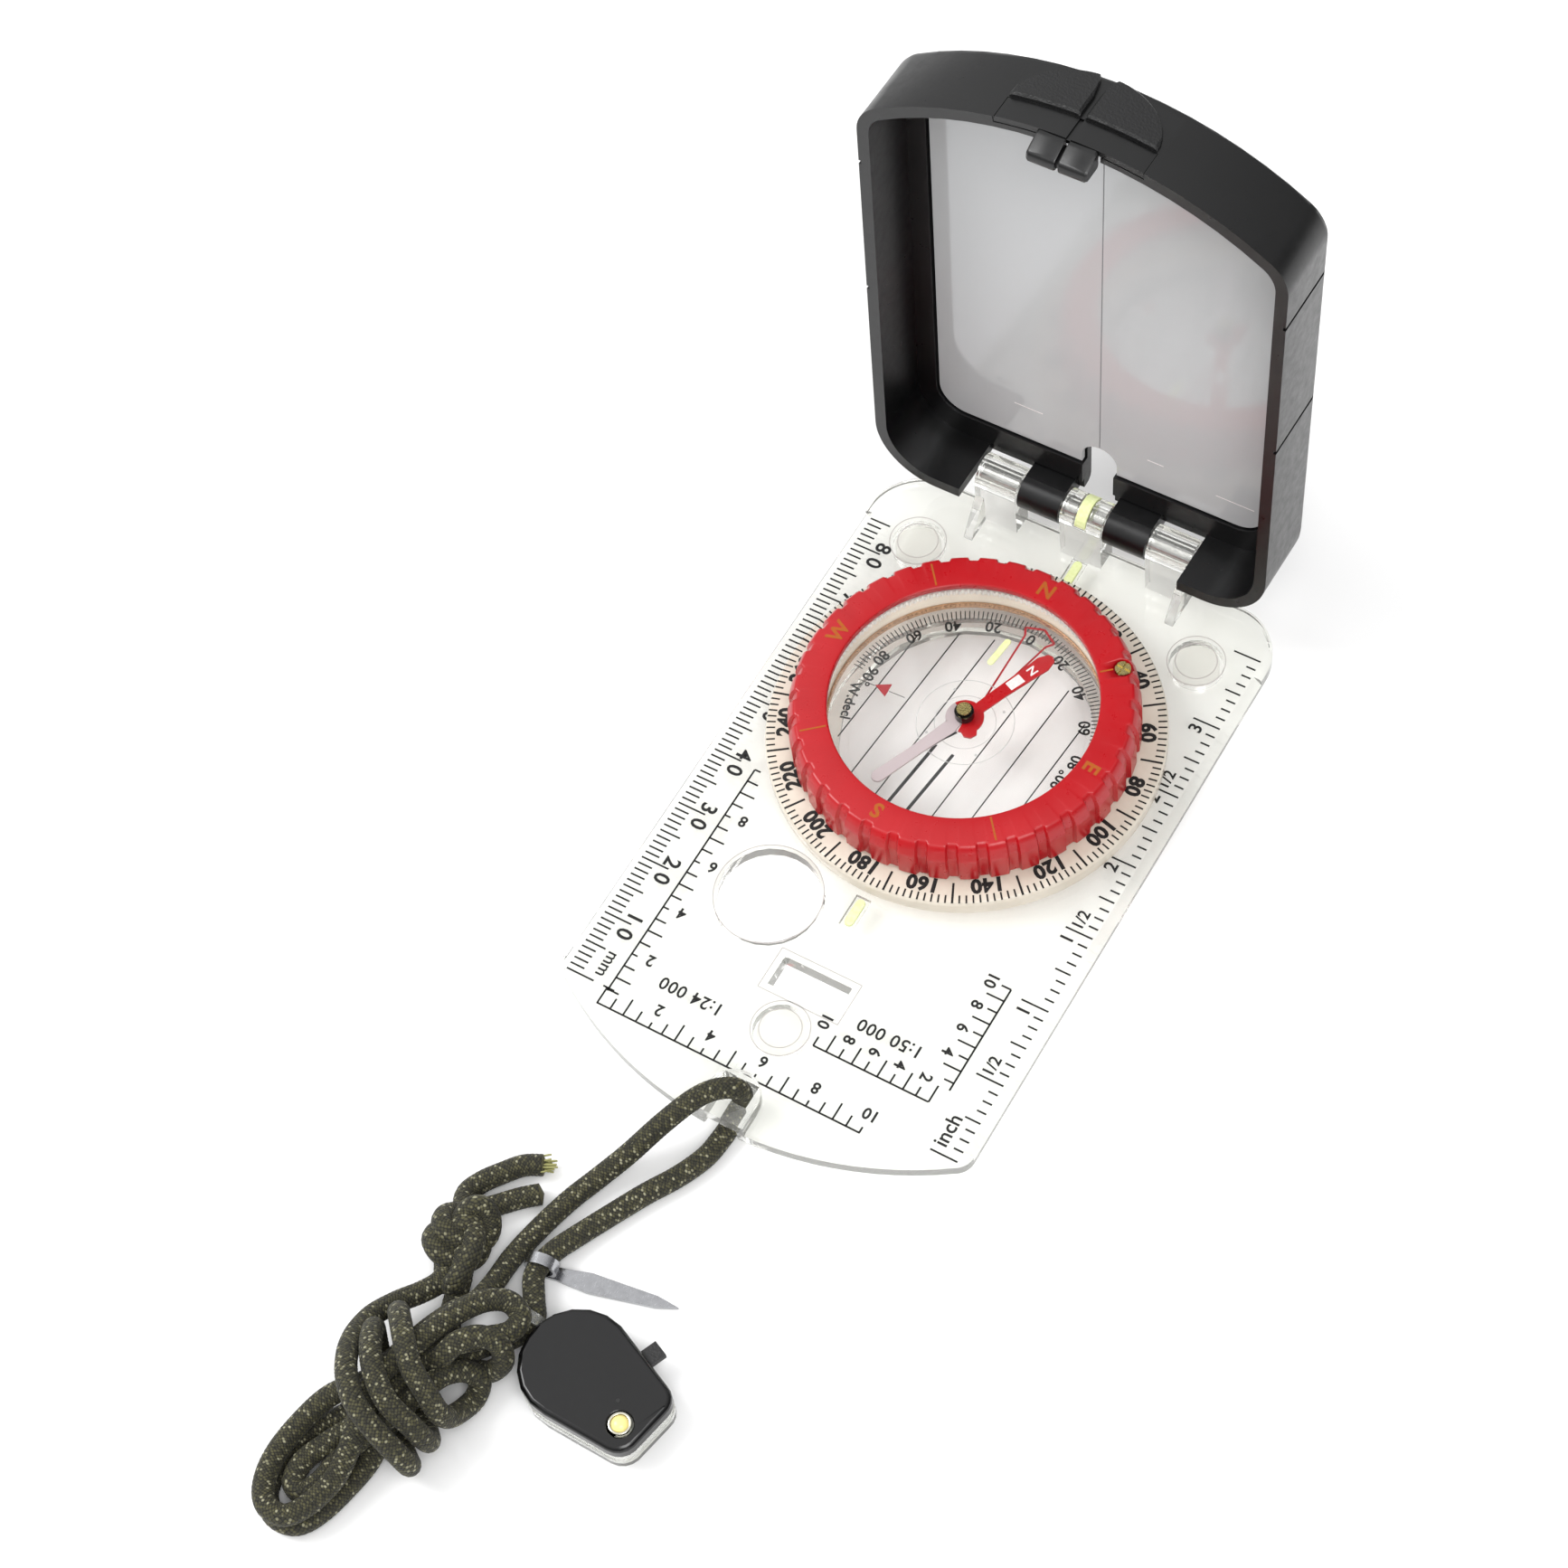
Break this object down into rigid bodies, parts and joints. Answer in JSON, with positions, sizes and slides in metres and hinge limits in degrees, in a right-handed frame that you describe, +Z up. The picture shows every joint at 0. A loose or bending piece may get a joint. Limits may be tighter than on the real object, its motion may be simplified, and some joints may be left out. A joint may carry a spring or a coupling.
{
  "type": "baseplate compass",
  "caption": "Folding mirror baseplate compass with a turning dial, liquid capsule, needle, clinometer, sighting lid, and a knotted lanyard carrying a key and a lamp.",
  "frame": {"origin": "middle of the footprint of the compass without its lanyard, on the surface it stands on", "axes": "+Z up, +Y along the baseplate towards the hinge and the open lid, +X to the right of someone who looks along +Y"},
  "size_m": [0.0654, 0.1931, 0.0963],
  "materials": {
    "clear_plastic": "clear, moulded, glossy",
    "tinted_plastic": "clear with a warm tint, glossy",
    "black_gloss": "moulded, glossy inside and satin outside",
    "black_matt": "fine grained",
    "red_plastic": "translucent red, glossy",
    "mirror": "silvered",
    "luminous": "luminous paint",
    "steel": "bright rolled",
    "brass": "turned",
    "copper": "copper, oxidised a little",
    "rubber": "clear, soft",
    "needle_paint": "red and white paint",
    "cord": "olive braid with light flecks",
    "led": "clear yellow resin",
    "print_black": "printed ink",
    "print_red": "printed ink",
    "print_orange": "printed ink",
    "print_white": "printed ink"
  },
  "bodies": {
    "base": {"baseplate": "clear_plastic", "foot_left": "rubber", "foot_right": "rubber", "foot_front": "rubber", "luminous_strip_front": "luminous", "luminous_strip_rear": "luminous", "luminous_strip_hinge": "luminous", "hinge_pin": "steel", "lanyard_strand_upper": "cord", "lanyard_strand_lower": "cord", "lanyard_hank_head": "cord", "lanyard_hank_wraps": "cord", "lanyard_hank_loops": "cord", "lanyard_knot": "cord", "lanyard_tail_long": "cord", "lanyard_tail_short": "cord", "lamp_base": "clear_plastic", "lamp_cover": "black_matt", "lamp_led": "led", "lamp_battery_lower": "steel", "lamp_battery_upper": "steel", "lamp_contact": "copper", "declination_key": "steel"},
    "lid": {"lid_shell": "black_gloss", "mirror": "mirror", "sight_latch": "black_matt"},
    "dial": {"graduated_dial": "tinted_plastic", "retaining_ring": "clear_plastic", "bezel": "red_plastic"},
    "capsule": {"capsule_cup": "clear_plastic", "capsule_gasket": "rubber", "capsule_window": "clear_plastic", "damping_ring": "copper", "pivot_post": "steel", "luminous_strip_capsule": "luminous"},
    "screw": {"declination_screw": "brass"},
    "needle": {"needle": "needle_paint", "needle_collar": "black_gloss", "needle_cap": "brass"},
    "clinometer": {"clinometer_arm": "clear_plastic", "clinometer_pointer": "print_red"},
    "switch": {"lamp_switch": "black_matt"}
  },
  "joints": [
    {"name": "lid_hinge", "type": "hinge", "parent": "base", "child": "lid", "pos_m": [0, 0.04767, 0.0114], "axis": [1, 0, 0], "range_deg": [-86.4, 93.5]},
    {"name": "dial_turn", "type": "hinge", "parent": "base", "child": "dial", "pos_m": [0, 0.01057, 0.0037], "axis": [0, 0, 1], "continuous": true},
    {"name": "declination_adjust", "type": "hinge", "parent": "dial", "child": "capsule", "pos_m": [0, 0.01057, 0.0063], "axis": [0, 0, 1], "range_deg": [-35, 35]},
    {"name": "screw_turn", "type": "hinge", "parent": "dial", "child": "screw", "pos_m": [0.01744, 0.02541, 0.0114], "axis": [0, 0, 1], "range_deg": [-500, 500]},
    {"name": "needle_swing", "type": "hinge", "parent": "capsule", "child": "needle", "pos_m": [0, 0.01057, 0.0088], "axis": [0, 0, 1], "continuous": true},
    {"name": "clinometer_swing", "type": "hinge", "parent": "capsule", "child": "clinometer", "pos_m": [0, 0.01057, 0.0072], "axis": [0, 0, 1], "continuous": true},
    {"name": "lamp_switch_slide", "type": "slide", "parent": "base", "child": "switch", "axis": [0.9171, -0.3987, 0], "range_m": [-0.0008, 0.0008]}
  ],
  "couplings": [
    {"joint": "screw_turn", "follows": "declination_adjust", "ratio": -14}
  ]
}
